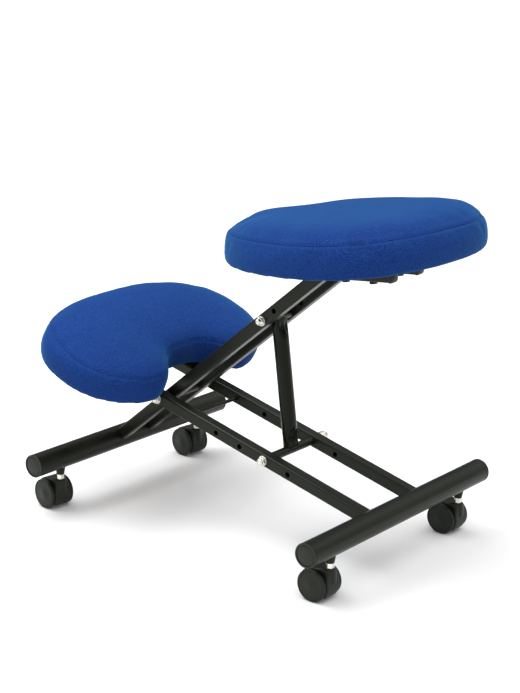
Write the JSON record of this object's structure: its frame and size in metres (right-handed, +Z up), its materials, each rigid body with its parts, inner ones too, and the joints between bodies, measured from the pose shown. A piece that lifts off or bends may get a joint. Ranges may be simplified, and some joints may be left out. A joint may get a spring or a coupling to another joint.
{
  "type": "kneeling chair",
  "caption": "Kneeling chair: padded seat and notched knee pad on two crossing steel tube frames with an adjusting strut, on swivel castors.",
  "frame": {"origin": "on the floor, at the middle of the footprint's bounding box", "axes": "+Z up, the sitter faces -Y (knee pad end), the seat is at the +Y end, +X is the sitter's left"},
  "size_m": [0.46, 0.709, 0.5407],
  "materials": {
    "black_paint": "semi-gloss powder coat",
    "black_caps": "satin moulded",
    "black_nylon": "matt moulded nylon",
    "zinc_plate": "bright zinc plate",
    "blue_fabric": "fine crepe weave upholstery",
    "plywood": "raw birch plywood"
  },
  "bodies": {
    "rear_frame": {"rear_tube": "black_paint", "rear_caps": "black_caps", "rear_sockets": "black_paint", "rail_left": "black_paint", "rail_right": "black_paint", "rail_brace": "black_paint", "knee_bracket_left": "black_paint", "knee_bracket_right": "black_paint", "pivot_bolt": "zinc_plate", "pivot_nut": "zinc_plate", "pivot_washers": "zinc_plate", "pivot_spacers": "black_paint", "foot_bolts": "zinc_plate", "foot_washers": "zinc_plate", "knee_board": "plywood", "knee_cushion": "blue_fabric", "knee_screws": "zinc_plate", "stem_rl": "zinc_plate", "stem_rr": "zinc_plate"},
    "seat_frame": {"front_tube": "black_paint", "front_caps": "black_caps", "front_sockets": "black_paint", "beam_left": "black_paint", "beam_right": "black_paint", "seat_rail_left": "black_paint", "seat_rail_right": "black_paint", "beam_plugs": "black_caps", "pivot_sleeve": "black_paint", "strut_bolt": "zinc_plate", "strut_nut": "zinc_plate", "strut_washers": "zinc_plate", "seat_strap_front": "black_paint", "seat_strap_rear": "black_paint", "seat_board": "plywood", "seat_cushion": "blue_fabric", "seat_bolts": "black_paint", "seat_screws": "zinc_plate", "stem_fl": "zinc_plate", "stem_fr": "zinc_plate"},
    "strut": {"strut_tube": "black_paint", "strut_top_sleeve": "black_paint", "strut_foot_sleeve": "black_paint"},
    "castor_fl": {"hood_fl": "black_nylon", "axle_fl": "zinc_plate"},
    "wheel_fl_a": {"wheel_fl_a": "black_nylon"},
    "wheel_fl_b": {"wheel_fl_b": "black_nylon"},
    "castor_fr": {"hood_fr": "black_nylon", "axle_fr": "zinc_plate"},
    "wheel_fr_a": {"wheel_fr_a": "black_nylon"},
    "wheel_fr_b": {"wheel_fr_b": "black_nylon"},
    "castor_rl": {"hood_rl": "black_nylon", "axle_rl": "zinc_plate"},
    "wheel_rl_a": {"wheel_rl_a": "black_nylon"},
    "wheel_rl_b": {"wheel_rl_b": "black_nylon"},
    "castor_rr": {"hood_rr": "black_nylon", "axle_rr": "zinc_plate"},
    "wheel_rr_a": {"wheel_rr_a": "black_nylon"},
    "wheel_rr_b": {"wheel_rr_b": "black_nylon"}
  },
  "joints": [
    {"name": "frame_fold", "type": "hinge", "parent": "rear_frame", "child": "seat_frame", "pos_m": [0, -0.1593, 0.19378], "axis": [1, 0, 0], "range_deg": [-5.4, 4.1]},
    {"name": "strut_swing", "type": "hinge", "parent": "seat_frame", "child": "strut", "pos_m": [0, 0.03473, 0.35458], "axis": [1, 0, 0], "range_deg": [-12.4, 16.2]},
    {"name": "castor_fl_swivel", "type": "hinge", "parent": "seat_frame", "child": "castor_fl", "pos_m": [0.17, -0.2873, 0.052], "axis": [0, 0, 1], "continuous": true},
    {"name": "wheel_fl_a_spin", "type": "hinge", "parent": "castor_fl", "child": "wheel_fl_a", "pos_m": [0.16768, -0.30616, 0.025], "axis": [0.9925, -0.1219, 0], "continuous": true},
    {"name": "wheel_fl_b_spin", "type": "hinge", "parent": "castor_fl", "child": "wheel_fl_b", "pos_m": [0.16768, -0.30616, 0.025], "axis": [0.9925, -0.1219, 0], "continuous": true},
    {"name": "castor_fr_swivel", "type": "hinge", "parent": "seat_frame", "child": "castor_fr", "pos_m": [-0.17, -0.2873, 0.052], "axis": [0, 0, 1], "continuous": true},
    {"name": "wheel_fr_a_spin", "type": "hinge", "parent": "castor_fr", "child": "wheel_fr_a", "pos_m": [-0.17232, -0.30616, 0.025], "axis": [0.9925, -0.1219, 0], "continuous": true},
    {"name": "wheel_fr_b_spin", "type": "hinge", "parent": "castor_fr", "child": "wheel_fr_b", "pos_m": [-0.17232, -0.30616, 0.025], "axis": [0.9925, -0.1219, 0], "continuous": true},
    {"name": "castor_rl_swivel", "type": "hinge", "parent": "rear_frame", "child": "castor_rl", "pos_m": [0.17, 0.2707, 0.052], "axis": [0, 0, 1], "continuous": true},
    {"name": "wheel_rl_a_spin", "type": "hinge", "parent": "castor_rl", "child": "wheel_rl_a", "pos_m": [0.17, 0.2517, 0.025], "axis": [1, 0, 0], "continuous": true},
    {"name": "wheel_rl_b_spin", "type": "hinge", "parent": "castor_rl", "child": "wheel_rl_b", "pos_m": [0.17, 0.2517, 0.025], "axis": [1, 0, 0], "continuous": true},
    {"name": "castor_rr_swivel", "type": "hinge", "parent": "rear_frame", "child": "castor_rr", "pos_m": [-0.17, 0.2707, 0.052], "axis": [0, 0, 1], "continuous": true},
    {"name": "wheel_rr_a_spin", "type": "hinge", "parent": "castor_rr", "child": "wheel_rr_a", "pos_m": [-0.17, 0.2517, 0.025], "axis": [1, 0, 0], "continuous": true},
    {"name": "wheel_rr_b_spin", "type": "hinge", "parent": "castor_rr", "child": "wheel_rr_b", "pos_m": [-0.17, 0.2517, 0.025], "axis": [1, 0, 0], "continuous": true}
  ],
  "couplings": [
    {"joint": "strut_swing", "follows": "frame_fold", "ratio": -2.94}
  ]
}
